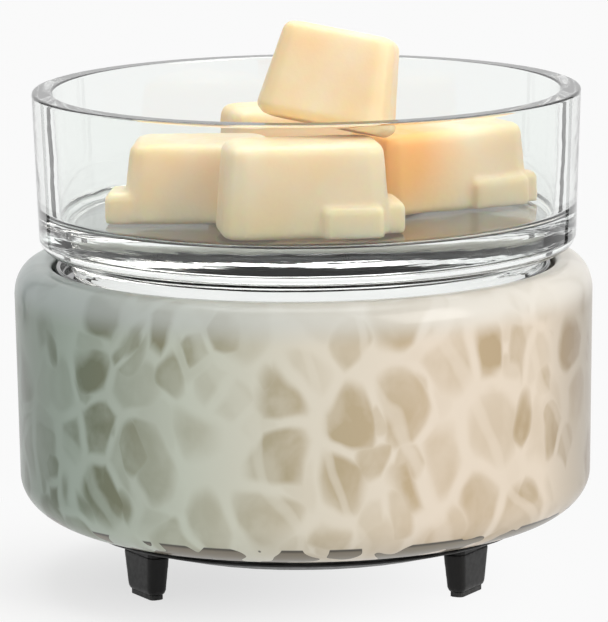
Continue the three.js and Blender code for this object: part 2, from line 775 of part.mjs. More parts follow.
function basePlate() {
  const flatRadius = mouthRadius - baseFlat;
  const bellyRadius = mouthRadius - bellyInset;
  const bellyZ = baseZ - baseBelly;
  const shell = solid(revolve([
    [0, bellyZ],
    [bellyRadius, bellyZ],
    [bellyRadius + bellyRun, baseZ],
    [flatRadius, baseZ],
    [flangeRadius - flangeEdge / 2, flangeZ - flangeEdge],
    [flangeRadius, flangeZ - flangeEdge / 2],
    [flangeRadius, flangeZ],
    [spigotRadius, flangeZ],
    [spigotRadius, flangeZ + spigotHeight - spigotLead],
    [spigotRadius - spigotLead, flangeZ + spigotHeight],
    [spigotRadius - spigotWall, flangeZ + spigotHeight],
    [spigotRadius - spigotWall, baseFloorZ],
    [0, baseFloorZ],
  ], roundFacets, true));
  const bosses = Object.values(studAngles).map((angle) =>
    solid(rod(bossRadius, baseFloorZ - sink, bossTopZ, polar(studCircle, angle), boreFacets)));
  const seats = Object.values(footAngles).map((angle) =>
    solid(onCircle(prism(footOutline(0, 0), baseZ, baseFloorZ - fitGap), footCircle, angle)));
  const ribLength = spigotRadius - spigotWall / 2 - ribRingRadius;
  const ribs = ribAngles.map((angle) => solid(onCircle(
    block(ribLength, ribThickness, baseFloorZ - sink, baseFloorZ + ribHeight),
    ribRingRadius + ribLength / 2, angle,
  )));
  const ribRing = solid(ring(ribRingRadius - ribThickness / 2, ribRingRadius + ribThickness / 2,
    baseFloorZ - sink, baseFloorZ + ribHeight));
  const tunnel = solid(inletTunnel(inletBore + inletWall, inletEnd - inletLength, inletEnd, false));
  const whole = join(shell, ...bosses, ...seats, ribRing, ...ribs, tunnel);

  const ventRadius = ribRingRadius + ribThickness + ventLength / 2;
  const vents = ribAngles.flatMap((angle) => [-ventTurn, ventTurn].map((turn) =>
    solid(onCircle(prism(roundedRectangle(ventLength, ventWidth, ventCorner, 1), bellyZ - past,
      baseFloorZ + past), ventRadius, angle + turn))));
  const screwHoles = Object.values(studAngles).flatMap((angle) => {
    const place = polar(studCircle, angle);
    return [
      drill(screwRadius + fitGap, baseZ, bossTopZ, place),
      solid(rod(screwHeadRadius + 2 * fitGap, bellyZ - past, baseZ + screwHeadHeight + fitGap, place)),
    ];
  });
  const footHoles = Object.values(footAngles).flatMap((angle) => {
    const place = polar(footCircle, angle);
    return [
      drill(footScrewRadius + fitGap, baseZ, baseFloorZ, place),
      solid(rod(pinRadius + fitGap, baseZ - past, baseZ + pinHeight + fitGap, place)),
    ];
  });
  const blockHole = rod(footScrewRadius + fitGap, baseFloorZ - blockScrewReach - fitGap,
    baseFloorZ + past, blockPlace);
  const bore = inletTunnel(inletBore, inletEnd - inletLength + inletWall, inletEnd + inletBore, true);
  const rise = block(2 * inletBore, 2 * inletBore, inletZ, baseFloorZ + ribHeight + past, {
    x: inletOffset, y: inletEnd - inletLength + inletWall + inletBore,
  });
  return skin(cut(whole, ...vents, ...screwHoles, ...footHoles, solid(blockHole), solid(bore),
    solid(rise)));
}

function inletBushing() {
  const outer = inletBore - fitGap;
  const inner = outer - bushingWall;
  return revolve([
    [inner, 0],
    [outer, 0],
    [outer, bushingLength],
    [inner + bushingWall / 2, bushingLength],
    [inner, bushingLength - bushingWall],
  ], boreFacets).rotateX(-Math.PI / 2);
}

/** Tapered peg with a locating pin on top. */
function foot() {
  const peg = loft([
    { outline: toeOutline(0), z: padThickness },
    { outline: footOutline(footDraft, footLean), z: padThickness + footToe },
    { outline: footOutline(0, 0), z: baseZ },
  ]);
  const pin = rod(pinRadius, baseZ - sink, baseZ + pinHeight);
  const pilot = rod(footScrewRadius + fitGap, baseFloorZ - footScrewReach - fitGap,
    baseFloorZ + past);
  return skin(cut(join(solid(peg), solid(pin)), solid(pilot)));
}

const footPad = () => prism(toeOutline(padInset), 0, padThickness);

// Wax dish and wax melts

function waxDish() {
  const low = dishRadius - dishTaper;
  const cornerZ = dishZ + dishFootHeight;
  const floorRadius = low - dishWall;
  return revolve([
    [0, dishZ],
    ...arc(dishFootRadius - footFillet, dishZ + footFillet, footFillet, footFillet, 270, 360,
      bendSteps),
    ...arc(dishFootRadius + footFillet, cornerZ - footFillet, footFillet, footFillet, 180, 90,
      bendSteps),
    ...arc(low - dishCornerRound, cornerZ + dishCornerRound, dishCornerRound, dishCornerRound,
      270, 360),
    [dishRadius, rimZ - dishBevel],
    [dishRadius - dishBevel, rimZ],
    [dishRadius - dishWall + dishBevel, rimZ],
    [dishRadius - dishWall, rimZ - dishBevel],
    ...arc(floorRadius - dishFillet, dishFloorZ + dishFillet, dishFillet, dishFillet, 360, 270,
      edgeSteps),
    [0, dishFloorZ],
  ], roundFacets, true);
}

/** Drafted block with round edges and low webs, broken off where it met its neighbours. */
function waxMelt({ length, width, height, draft, foot: toe = meltFoot, webs }) {
  const outline = (inset) =>
    roundedRectangle(length - 2 * inset, width - 2 * inset, meltCorner - inset / 2);
  const sideTop = height - meltEdge;
  const sideInset = (draft * sideTop) / height;
  const cap = arc(0, 0, meltEdge, meltEdge, 0, 90, edgeSteps).slice(1).map(([run, rise]) => ({
    outline: outline(sideInset + meltEdge - run), z: sideTop + rise,
  }));
  const body = loft([
    { outline: outline(toe), z: 0 },
    { outline: outline(0), z: toe },
    { outline: outline(sideInset), z: sideTop },
    ...cap,
  ]);
  const pieces = webs.map((web) => loft([
    { outline: roundedRectangle(web.length, web.width, webEdge), z: 0 },
    { outline: roundedRectangle(web.length, web.width, webEdge), z: webHeight - webEdge },
    { outline: roundedRectangle(web.length - webEdge, web.width - webEdge, webEdge), z: webHeight },
  ]).translate(web.x, web.y, 0));
  return skin(join(solid(body), ...pieces.map(solid)));
}

/** Height at which the tilted underside of one melt bears on the melt below it. */
function heightOn(below, piece) {
  const normal = new THREE.Vector3(0, 0, 1).applyEuler(piece.rotation);
  const foot = new THREE.Vector3(piece.position.x, piece.position.y, 0);
  const points = below.geometry.attributes.position;
  below.updateMatrix();
  let reach = 0;
  for (let i = 0; i < points.count; i += 1) {
    const point = new THREE.Vector3().fromBufferAttribute(points, i).applyMatrix4(below.matrix);
    reach = Math.max(reach, point.sub(foot).dot(normal));
  }
  return (reach + seatGap) / normal.z;
}

// Assembly

const model = new THREE.Group();

function place(name, geometry, material, position = [0, 0, 0], rotation = [0, 0, 0], parent = model) {
  const mesh = new THREE.Mesh(geometry, material);
  mesh.name = name;
  mesh.position.set(...position);
  mesh.rotation.set(...rotation);
  parent.add(mesh);
  return mesh;
}

/** One copy of a piece at each named angle of a circle. */
function placeRound(prefix, geometry, material, angles, radius, z = 0, turn = false) {
  for (const [side, degrees] of Object.entries(angles)) {
    const spot = polar(radius, degrees, z);
    const yaw = turn ? THREE.MathUtils.degToRad(degrees - 90) : 0;
    place(`${prefix}_${side}`, geometry, material, spot.toArray(), [0, 0, yaw]);
  }
}

place('glass_housing', glassHousing(), casedGlass);
place('base_gasket', baseGasket(), silicone);
place('plate_gasket', plateGasket(), silicone);
place('hot_plate', hotPlate(), blackEnamel);
place('heat_spreader', skin(drilledDisc(spreaderRadius, spreaderZ, plateUnderZ)), aluminium);
place('mica_upper', skin(drilledDisc(micaRadius, micaUpperZ, spreaderZ)), mica);
place('heater_ribbon', heaterRibbon(), nichrome);
place('heater_card', windowedDisc(cardZ, ribbonZ), mica);
place('mica_lower', windowedDisc(micaLowerZ, cardZ), mica);
place('clamp_plate', clampPlate(), steel);
placeRound('clamp_nut', clampNut(), steel, studAngles, studCircle, nutZ);
placeRound('shield_spacer', shieldSpacer(), steel, studAngles, studCircle, shieldZ);
place('heat_shield', heatShield(), aluminium);
placeRound('tie_post', tiePost(), steel, studAngles, studCircle);

place('thermostat', thermostat(), ceramic, [...thermostatPlace.toArray(), clampZ]);
place('thermostat_bracket', thermostatBracket(), steel, [...thermostatPlace.toArray(), clampZ]);
rivetPlaces.forEach((spot, i) =>
  place(`bracket_rivet_${['front', 'back'][i]}`, bracketRivet(), steel, [...spot.toArray(), clampZ]));
place('thermal_fuse', thermalFuse(), ceramic, [...fusePlace.toArray(), clampZ - fuseRadius - fitGap]);
place('fuse_clip', fuseClip(), steel, [...fusePlace.toArray(), clampZ]);

place('terminal_block', terminalBlock(), ceramic, [...blockPlace.toArray(), baseFloorZ]);
const terminalScrew = screw(leadRadius, blockHeight / 6, terminalScrewHeadRadius,
  terminalScrewHeadHeight);
[-1, 1].forEach((side) => place(`terminal_screw_${side < 0 ? 'left' : 'right'}`, terminalScrew, steel,
  [blockPlace.x + side * terminalX, blockPlace.y, baseFloorZ + blockHeight - chamberDepth + fitGap]));
const blockHeadZ = blockHeight - footScrewHeadHeight;
place('block_screw', screw(footScrewRadius, blockHeadZ + blockScrewReach, footScrewHeadRadius,
  footScrewHeadHeight), steel, [...blockPlace.toArray(), baseFloorZ + blockHeadZ]);
for (const [name, points] of Object.entries(leadRoutes())) place(name, wire(points), sleeve);

place('base_plate', basePlate(), blackPlastic);
place('inlet_bushing', inletBushing(), silicone, [inletOffset, inletEnd - bushingLength, inletZ]);
const screwLength = bossTopZ + screwReach - baseZ - screwHeadHeight - fitGap;
placeRound('base_screw', screw(screwRadius, screwLength, screwHeadRadius, screwHeadHeight)
  .rotateX(Math.PI), steel, studAngles, studCircle, baseZ + screwHeadHeight + fitGap);
placeRound('foot', foot(), blackPlastic, footAngles, footCircle, 0, true);
placeRound('foot_pad', footPad(), silicone, footAngles, footCircle, 0, true);
placeRound('foot_screw', screw(footScrewRadius, footScrewReach, footScrewHeadRadius,
  footScrewHeadHeight), steel, footAngles, footCircle, baseFloorZ);

const dish = new THREE.Group();
model.add(dish);
place('wax_dish', waxDish(), clearGlass, undefined, undefined, dish);
const placedMelts = {};
for (const [side, melt] of Object.entries(melts)) {
  const piece = place(`wax_melt_${side}`, waxMelt(melt), wax,
    [...melt.at, dishFloorZ + seatGap], undefined, dish);
  piece.rotation.set(...melt.turn.map(THREE.MathUtils.degToRad), 'ZYX');
  placedMelts[side] = piece;
}
placedMelts.top.position.z = heightOn(placedMelts.front, placedMelts.top);

export default model;
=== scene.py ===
"""Looks of an electric candle warmer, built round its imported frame. Metres, +Z up, front -Y."""

import json
import math

import bpy
from mathutils import Matrix, Vector


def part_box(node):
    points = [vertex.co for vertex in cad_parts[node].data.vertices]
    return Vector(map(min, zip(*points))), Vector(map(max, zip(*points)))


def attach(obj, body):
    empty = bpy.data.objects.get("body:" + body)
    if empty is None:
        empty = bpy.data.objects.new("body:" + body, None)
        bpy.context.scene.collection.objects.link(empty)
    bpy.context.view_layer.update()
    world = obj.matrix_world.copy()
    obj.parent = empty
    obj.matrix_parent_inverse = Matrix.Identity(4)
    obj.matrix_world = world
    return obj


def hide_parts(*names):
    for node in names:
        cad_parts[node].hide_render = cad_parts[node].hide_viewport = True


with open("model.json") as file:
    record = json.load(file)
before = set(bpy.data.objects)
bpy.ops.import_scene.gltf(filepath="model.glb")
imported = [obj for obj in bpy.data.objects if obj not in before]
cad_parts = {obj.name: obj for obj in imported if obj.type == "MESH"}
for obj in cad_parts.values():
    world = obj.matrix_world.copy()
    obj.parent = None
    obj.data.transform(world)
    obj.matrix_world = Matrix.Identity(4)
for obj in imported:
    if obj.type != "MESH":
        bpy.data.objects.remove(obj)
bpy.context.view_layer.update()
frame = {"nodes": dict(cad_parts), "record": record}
MM = 0.001

# Places read from the frame

GLASS_LOW, GLASS_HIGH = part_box("glass_housing")
DISH_LOW, DISH_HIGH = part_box("wax_dish")
PAN_LOW, PAN_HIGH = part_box("hot_plate")
NUT_LOW, NUT_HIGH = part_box("clamp_nut_front")

# Driving sizes of the glass housing

HOUSING_WALL = 4.5 * MM
HOUSING_TAPER = 0.5 * MM
SHOULDER_RUN, SHOULDER_RISE = 4.9 * MM, 6.6 * MM
LIP_LAND, LIP_ROUND = 1.3 * MM, 1.8 * MM
LEDGE_WIDTH, LEDGE_DEPTH, NECK_LENGTH = 4.8 * MM, 5.4 * MM, 3.2 * MM
HEEL_RUN, HEEL_RISE, LAND_WIDTH = 13.4 * MM, 9.8 * MM, 2.6 * MM

RECESS = GLASS_HIGH.x - SHOULDER_RUN - LIP_LAND - LIP_ROUND
LEDGE_Z = GLASS_HIGH.z - LEDGE_DEPTH
HEEL_START = GLASS_HIGH.x - HOUSING_TAPER - HEEL_RUN
HEEL_Z = GLASS_LOW.z + HEEL_RISE

# Driving sizes of the dish

DISH_OVERHANG, DISH_TAPER, DISH_WALL = 7.8 * MM, 1 * MM, 4.3 * MM
DISH_FLOOR, DISH_FOOT_HEIGHT = 13.1 * MM, 5.1 * MM
DISH_CORNER, DISH_BEVEL, DISH_FILLET, FOOT_FILLET = 3.2 * MM, 0.5 * MM, 1.6 * MM, 1.2 * MM
DISH_SHIFT = Vector((1 * MM, 0, 0))  # it stands loose on the hot plate, a little to the right

DISH_FOOT = DISH_HIGH.x - DISH_OVERHANG
DISH_FLOOR_Z = DISH_LOW.z + DISH_FLOOR

# Driving sizes of the hot plate

PLATE = 1.2 * MM
PLATE_RIM = 2.2 * MM
STUD_RADIUS = 2 * MM
STUD_CIRCLE = -(NUT_LOW.y + NUT_HIGH.y) / 2  # the front nut stands straight in front
STUD_ANGLES = {"front": 0, "right": 120, "left": 240}
CROWN_PLACE = Vector((0, 12 * MM, 0))  # the proud round, placed to match the photograph
CROWN_RADIUS, CROWN_EDGE = 27 * MM, 1 * MM
CROWN_CONTACT = 0.02 * MM  # no air film under the dish there

PAN_FACE = PAN_HIGH.z - PLATE_RIM
PAN_UNDER = PAN_FACE - PLATE

# Fineness of the meshes

ROUND_FACETS, CROWN_FACETS, STUD_FACETS = 240, 96, 24
SHARP_DEGREES = 40
ON_AXIS = 1e-7  # a point nearer than this lies on the axis
FOOT_VOXEL, FOOT_ROUNDS = 0.28 * MM, 10
MELT_VOXEL, MELT_ROUNDS = 0.4 * MM, 18


# Meshes

def arc(r, z, across, up, start, end, steps=12):
    """Points of a quarter ellipse, angles in degrees."""
    angles = [math.radians(start + (end - start) * i / steps) for i in range(steps + 1)]
    return [(r + across * math.cos(a), z + up * math.sin(a)) for a in angles]


def held(profile, hold=0.3 * MM, long=2 * MM):
    """Profile with a point near both ends of each long run, so that its shading stays straight."""
    points = []
    for (r0, z0), (r1, z1) in zip(profile, profile[1:]):
        points.append((r0, z0))
        length = math.hypot(r1 - r0, z1 - z0)
        if length > long:
            for share in (hold / length, 1 - hold / length):
                points.append((r0 + (r1 - r0) * share, z0 + (z1 - z0) * share))
    return [*points, profile[-1]]


def mesh_object(name, vertices, faces):
    mesh = bpy.data.meshes.new(name)
    mesh.from_pydata(vertices, [], faces)
    mesh.polygons.foreach_set("use_smooth", [True] * len(mesh.polygons))
    mesh.set_sharp_from_angle(angle=math.radians(SHARP_DEGREES))
    mesh.update()
    piece = bpy.data.objects.new(name, mesh)
    bpy.context.scene.collection.objects.link(piece)
    return piece


def revolve(name, profile, facets=ROUND_FACETS):
    """Closed surface of revolution. Points on the axis become one vertex."""
    vertices, rings = [], []
    for r, z in profile:
        if r < ON_AXIS:
            rings.append([len(vertices)] * facets)
            vertices.append((0, 0, z))
            continue
        rings.append(list(range(len(vertices), len(vertices) + facets)))
        for i in range(facets):
            turn = 2 * math.pi * i / facets
            vertices.append((r * math.cos(turn), r * math.sin(turn), z))
    faces = []
    pairs = list(zip(rings, rings[1:]))
    if profile[0][0] > ON_AXIS:
        pairs.append((rings[-1], rings[0]))
    for low, high in pairs:
        for i in range(facets):
            j = (i + 1) % facets
            corners = [low[i], low[j], high[j], high[i]]
            faces.append(list(dict.fromkeys(corners)))
    return mesh_object(name, vertices, faces)


def softened(name, cad_node, voxel, rounds):
    """Copy of a CAD node with its edges worn round."""
    piece = bpy.data.objects.new(name, frame["nodes"][cad_node].data.copy())
    piece.data.materials.clear()
    bpy.context.scene.collection.objects.link(piece)
    remesh = piece.modifiers.new("remesh", "REMESH")
    remesh.mode = "VOXEL"
    remesh.voxel_size = voxel
    smooth = piece.modifiers.new("smooth", "SMOOTH")
    smooth.iterations = rounds
    smooth.factor = 0.5
    bpy.context.view_layer.update()
    graph = bpy.context.evaluated_depsgraph_get()
    mesh = bpy.data.meshes.new_from_object(piece.evaluated_get(graph))
    piece.modifiers.clear()
    piece.data = mesh
    mesh.polygons.foreach_set("use_smooth", [True] * len(mesh.polygons))
    return piece


# Shader nodes

MIX_FACTOR, MIX_FIRST, MIX_SECOND, MIX_RESULT = 0, 6, 7, 2  # sockets of a Mix node for colours


def material(name, base, roughness=0.5, metallic=0.0):
    made = bpy.data.materials.new(name)
    made.use_nodes = True
    shader = made.node_tree.nodes["Principled BSDF"]
    shader.inputs["Base Color"].default_value = (*base, 1)
    shader.inputs["Roughness"].default_value = roughness
    shader.inputs["Metallic"].default_value = metallic
    return made, made.node_tree, shader


def node(tree, kind, values=(), **settings):
    made = tree.nodes.new(kind)
    for key, value in settings.items():
        setattr(made, key, value)
    for socket, value in dict(values).items():
        if isinstance(value, bpy.types.NodeSocket):
            tree.links.new(value, made.inputs[socket])
        else:
            made.inputs[socket].default_value = value
    return made


def place_of(tree, scale=(1, 1, 1)):
    """Object coordinates in metres, scaled."""
    coordinates = node(tree, "ShaderNodeTexCoord")
    mapping = node(tree, "ShaderNodeMapping", {"Scale": scale})
    tree.links.new(coordinates.outputs["Object"], mapping.inputs["Vector"])
    return mapping.outputs["Vector"]


def axes_of(tree):
    return node(tree, "ShaderNodeSeparateXYZ", {0: place_of(tree)}).outputs


def noise(tree, vector, scale, detail=3, roughness=0.5):
    return node(tree, "ShaderNodeTexNoise", {
        "Vector": vector, "Scale": scale, "Detail": detail, "Roughness": roughness,
    })


def ramp(tree, value, stops):
    made = node(tree, "ShaderNodeValToRGB", {0: value})
    elements = made.color_ramp.elements
    while len(elements) < len(stops):
        elements.new(0.5)
    for element, (position, colour) in zip(elements, stops):
        element.position = position
        element.color = (*colour, 1)
    return made.outputs["Color"]


def math_node(tree, operation, first, second, clamp=False):
    made = node(tree, "ShaderNodeMath", {0: first, 1: second}, operation=operation, use_clamp=clamp)
    return made.outputs[0]


def vector_node(tree, operation, values, output="Vector"):
    return node(tree, "ShaderNodeVectorMath", values, operation=operation).outputs[output]


def smooth_step(tree, value, low, high, to_low=0.0, to_high=1.0):
    made = node(tree, "ShaderNodeMapRange", {
        "Value": value, "From Min": low, "From Max": high, "To Min": to_low, "To Max": to_high,
    }, interpolation_type="SMOOTHSTEP")
    return made.outputs["Result"]


def blend_colours(tree, factor, first, second):
    """Two colours mixed. The second may be written as plain numbers."""
    made = node(tree, "ShaderNodeMix", {MIX_FACTOR: factor, MIX_FIRST: first}, data_type="RGBA")
    if isinstance(second, bpy.types.NodeSocket):
        tree.links.new(second, made.inputs[MIX_SECOND])
    else:
        made.inputs[MIX_SECOND].default_value = (*second, 1)
    return made.outputs[MIX_RESULT]


def bump(tree, shader, height, strength, distance):
    made = node(tree, "ShaderNodeBump", {
        "Height": height, "Strength": strength, "Distance": distance,
    })
    tree.links.new(made.outputs["Normal"], shader.inputs["Normal"])


# Plain materials

COARSER = 25  # how many times coarser the colour change is than the grain
GRAIN_GLOSS = 0.15  # share by which the grain changes the roughness


def speckled(name, light, dark, roughness, metallic=0.0, grain=900, depth=0.00002, specular=0.5):
    """Plain moulded or rolled material with a fine grain and slight colour change."""
    made, tree, shader = material(name, light, roughness, metallic)
    shader.inputs["Specular IOR Level"].default_value = specular
    fine = noise(tree, place_of(tree), grain, 4).outputs["Fac"]
    broad = noise(tree, place_of(tree), grain / COARSER, 2).outputs["Fac"]
    smoothest = roughness * (1 - GRAIN_GLOSS)
    roughest = min(1, roughness * (1 + GRAIN_GLOSS))
    gloss = smooth_step(tree, fine, 0.3, 0.7, smoothest, roughest)
    tree.links.new(ramp(tree, broad, [(0.3, dark), (0.7, light)]), shader.inputs["Base Color"])
    tree.links.new(gloss, shader.inputs["Roughness"])
    bump(tree, shader, fine, 0.3, depth)
    return made


# Cased glass, with its pattern in cells per millimetre

PATTERN_SCALE = (1000, 1000, 820)  # the cells are drawn out in height
WARP_DENSITY, WARP_BEND = 0.07, 8.0
CELL_DENSITY, CELL_EDGE = 0.082, 0.15
SMALL_DENSITY, SMALL_EDGE = 0.125, 0.17
CLOUD_DENSITY = 0.13
SWIRL_DENSITY = 0.026

# Colours from the left side of the housing to its right side, cool green on the left and warm on
# the right. The left and both side edges are darker: painted shade, as if lit from the right.
ACROSS = (0.01, 0.11, 0.3, 0.5, 0.71, 0.9, 0.99)
VEIN_COLOURS_WITH_PAINTED_SHADE = (
    (0.14, 0.18, 0.14), (0.37, 0.44, 0.38), (0.6, 0.64, 0.55), (0.71, 0.67, 0.57),
    (0.73, 0.65, 0.55), (0.67, 0.59, 0.49), (0.3, 0.26, 0.2),
)
CELL_COLOURS_WITH_PAINTED_SHADE = (
    (0.07, 0.09, 0.06), (0.14, 0.17, 0.11), (0.3, 0.29, 0.19), (0.45, 0.38, 0.25),
    (0.5, 0.39, 0.25), (0.4, 0.31, 0.19), (0.2, 0.15, 0.1),
)
MILK_PAINTED_SHADE_LEFT, MILK_PAINTED_LIGHT_RIGHT = (0.44, 0.49, 0.49), (0.76, 0.75, 0.71)
# The bare glass under the drops is painted as seen through: painted shade of the dark inside, going
# to a paler painted light lower down.
BARE_PAINTED_SHADE, BARE_PAINTED_LIGHT = (0.05, 0.045, 0.035), (0.19, 0.165, 0.12)

MILK_START, MILK_FULL = 9 * MM, 3 * MM  # down from the top of the glass
MILK_SHARE = 0.7
DROP_SCALE = (1000, 1000, 200)
DROP_DENSITY = 0.12
DROP_LOWEST, DROP_HIGHEST = -2 * MM, 4.6 * MM  # up from the foot of the glass
DROP_EDGE = 0.2 * MM  # how softly the drops end
BARE_DEPTH = 1.2 * MM  # how far under the drops the bare glass turns pale


def bent_place(tree):
    """Pattern coordinates, bent by a broad noise so that no cell is regular."""
    position = place_of(tree, PATTERN_SCALE)
    warp = noise(tree, position, WARP_DENSITY, 2, 0.3).outputs["Color"]
    shift = vector_node(tree, "SUBTRACT", {0: warp, 1: (0.5, 0.5, 0.5)})
    bend = vector_node(tree, "SCALE", {0: shift, "Scale": WARP_BEND})
    return vector_node(tree, "ADD", {0: position, 1: bend})


def soft_cells(tree, vector, scale, softness):
    """Soft round cells: how deep inside one, and the random values of that cell."""
    common = {"Vector": vector, "Scale": scale, "Randomness": 0.9}
    edges = node(tree, "ShaderNodeTexVoronoi", common, feature="DISTANCE_TO_EDGE")
    cells = node(tree, "ShaderNodeTexVoronoi", common, feature="F1")
    inside = smooth_step(tree, edges.outputs["Distance"], 0.02, softness)
    rounded = smooth_step(tree, cells.outputs["Distance"], 0.4, 0.68, 1, 0)
    random = node(tree, "ShaderNodeSeparateColor", {0: cells.outputs["Color"]})
    return math_node(tree, "MULTIPLY", inside, rounded), random.outputs


def cell_strength(tree, bent):
    """How strongly the taupe of the large and small cells covers the veins."""
    fill, random = soft_cells(tree, bent, CELL_DENSITY, CELL_EDGE)
    small_fill, small_random = soft_cells(tree, bent, SMALL_DENSITY, SMALL_EDGE)
    depth = smooth_step(tree, random[0], 0.0, 1.0, 0.25, 1.1)
    small_depth = smooth_step(tree, small_random[1], 0.3, 1.0, 0.0, 0.85)
    deep = math_node(tree, "MULTIPLY", fill, depth)
    small_deep = math_node(tree, "MULTIPLY", small_fill, small_depth)
    deepest = math_node(tree, "MAXIMUM", deep, small_deep)
    soft = noise(tree, bent, CLOUD_DENSITY, 3).outputs["Fac"]
    cloud = smooth_step(tree, soft, 0.3, 0.7, 0.65, 1.2)
    return math_node(tree, "MULTIPLY", deepest, cloud, clamp=True)


def swirl_threads(tree, bent):
    """Thin pale threads that wind through the pattern."""
    swirl = node(tree, "ShaderNodeTexWave", {
        "Vector": bent, "Scale": SWIRL_DENSITY, "Distortion": 14.0, "Detail": 2.0,
        "Detail Scale": 0.4,
    }, wave_type="BANDS", bands_direction="DIAGONAL")
    return smooth_step(tree, swirl.outputs["Fac"], 0.9, 1.0, 0.0, 0.55)


def with_painted_bare_edge(tree, colour, height):
    """Colour that ends in drops. Under them the bare glass is painted: painted shade of the dark
    inside right under the drops, and paler painted light below.
    """
    frit = noise(tree, place_of(tree, DROP_SCALE), DROP_DENSITY, 1).outputs["Fac"]
    lowest, highest = GLASS_LOW.z + DROP_LOWEST, GLASS_LOW.z + DROP_HIGHEST
    edge = smooth_step(tree, frit, 0.48, 0.54, lowest, highest)
    rise = math_node(tree, "SUBTRACT", height, edge)
    below = smooth_step(tree, rise, -DROP_EDGE, DROP_EDGE, 1.0, 0.0)
    nearness = smooth_step(tree, rise, -BARE_DEPTH, 0)
    # Painted shade and painted light of the inside seen through the bare glass.
    bare = ramp(tree, nearness, [(0.2, BARE_PAINTED_LIGHT), (0.9, BARE_PAINTED_SHADE)])
    return blend_colours(tree, below, colour, bare)


def mottled_glass():
    """Milky veins round taupe cells, cool green on the left and warm on the right, with painted
    shade that darkens the left and both side edges.
    """
    made, tree, shader = material("mottled_glass", (0.6, 0.57, 0.5), 0.3)
    shader.inputs["Coat Weight"].default_value = 0.28
    shader.inputs["Coat Roughness"].default_value = 0.08
    shader.inputs["Specular IOR Level"].default_value = 0.15
    bent = bent_place(tree)
    place = axes_of(tree)
    across = node(tree, "ShaderNodeMapRange", {
        "Value": place["X"], "From Min": -GLASS_HIGH.x, "From Max": GLASS_HIGH.x,
    }).outputs["Result"]
    # Painted shade: these ramps darken the left and both side edges of the housing.
    vein = ramp(tree, across, list(zip(ACROSS, VEIN_COLOURS_WITH_PAINTED_SHADE)))
    cell = ramp(tree, across, list(zip(ACROSS, CELL_COLOURS_WITH_PAINTED_SHADE)))
    colour = blend_colours(tree, cell_strength(tree, bent), vein, cell)
    colour = blend_colours(tree, swirl_threads(tree, bent), colour, vein)
    # The colour thins out over the shoulder, where the glass is milky. The milk is darker on the
    # left: painted shade.
    start, full = GLASS_HIGH.z - MILK_START, GLASS_HIGH.z - MILK_FULL
    lip = smooth_step(tree, place["Z"], start, full, 0.0, MILK_SHARE)
    milk = ramp(tree, across, [(0.0, MILK_PAINTED_SHADE_LEFT), (1.0, MILK_PAINTED_LIGHT_RIGHT)])
    colour = blend_colours(tree, lip, colour, milk)
    colour = with_painted_bare_edge(tree, colour, place["Z"])
    tree.links.new(colour, shader.inputs["Base Color"])
    return made


# Clear glass

GLASS_TINT = (0.945, 0.965, 0.95)
STREAK_BELOW, STREAK_ABOVE = 2 * MM, 1 * MM  # from the dish's floor
STREAK_SHARE = 0.5
SIDE_START, SIDE_FULL = 4 * MM, 1 * MM  # in from the radius of the dish's foot


def clear_glass():
    """Pressed glass, a little wavy in its wall and streaky round the side of its base."""
    made, tree, shader = material("clear_glass", GLASS_TINT, 0.0)
    shader.inputs["Transmission Weight"].default_value = 1
    shader.inputs["IOR"].default_value = 1.5
    wave = noise(tree, place_of(tree, (1, 1, 2.5)), 60, 2).outputs["Fac"]
    streak = noise(tree, place_of(tree, (1, 1, 18)), 40, 3).outputs["Fac"]
    height = axes_of(tree)["Z"]
    below, above = DISH_FLOOR_Z - STREAK_BELOW, DISH_FLOOR_Z + STREAK_ABOVE
    low = smooth_step(tree, height, below, above, STREAK_SHARE, 0.0)
    from_axis = vector_node(tree, "LENGTH", {0: place_of(tree, (1, 1, 0))}, "Value")
    side = smooth_step(tree, from_axis, DISH_FOOT - SIDE_START, DISH_FOOT - SIDE_FULL)
    low_side = math_node(tree, "MULTIPLY", low, side)
    streaks = math_node(tree, "MULTIPLY", streak, low_side)
    flow = math_node(tree, "MULTIPLY", math_node(tree, "ADD", wave, streaks), side)
    bump(tree, shader, flow, 0.05, 0.8 * MM)
    return made


# Wax

WAX_YELLOW, WAX_CREAM, WAX_PAINTED_SHADE = (0.99, 0.72, 0.42), (0.99, 0.82, 0.59), (0.97, 0.5, 0.13)
# Where the painted shade of deeper orange sits in the crevices of the pile, and how far it reaches.
PAINTED_SHADE_MIDDLE = (DISH_SHIFT.x + 14 * MM, -9 * MM, DISH_FLOOR_Z + 13 * MM)
PAINTED_SHADE_CORE, PAINTED_SHADE_REACH = 8 * MM, 21 * MM
WAX_GLOW_DEPTH = 9 * MM


def wax():
    """Creamy wax, with a painted shade of deeper orange in the crevices in the middle of the pile.
    """
    made, tree, shader = material("wax", (0.85, 0.66, 0.38), 0.42)
    shader.inputs["Subsurface Weight"].default_value = 0.6
    shader.inputs["Subsurface Radius"].default_value = (1, 0.45, 0.14)
    shader.inputs["Subsurface Scale"].default_value = WAX_GLOW_DEPTH
    broad = noise(tree, place_of(tree), 70, 2).outputs["Fac"]
    plain = ramp(tree, broad, [(0.3, WAX_YELLOW), (0.7, WAX_CREAM)])
    # Painted shade: deeper orange towards the middle of the pile, where its crevices are.
    away = vector_node(tree, "DISTANCE", {0: place_of(tree), 1: PAINTED_SHADE_MIDDLE}, "Value")
    deep = smooth_step(tree, away, PAINTED_SHADE_CORE, PAINTED_SHADE_REACH, 1.0, 0.0)
    colour = blend_colours(tree, deep, plain, WAX_PAINTED_SHADE)
    fine = noise(tree, place_of(tree), 420, 5, 0.6).outputs["Fac"]
    gloss = smooth_step(tree, fine, 0.35, 0.65, 0.34, 0.52)
    tree.links.new(colour, shader.inputs["Base Color"])
    tree.links.new(gloss, shader.inputs["Roughness"])
    bump(tree, shader, fine, 0.35, 0.2 * MM)
    return made


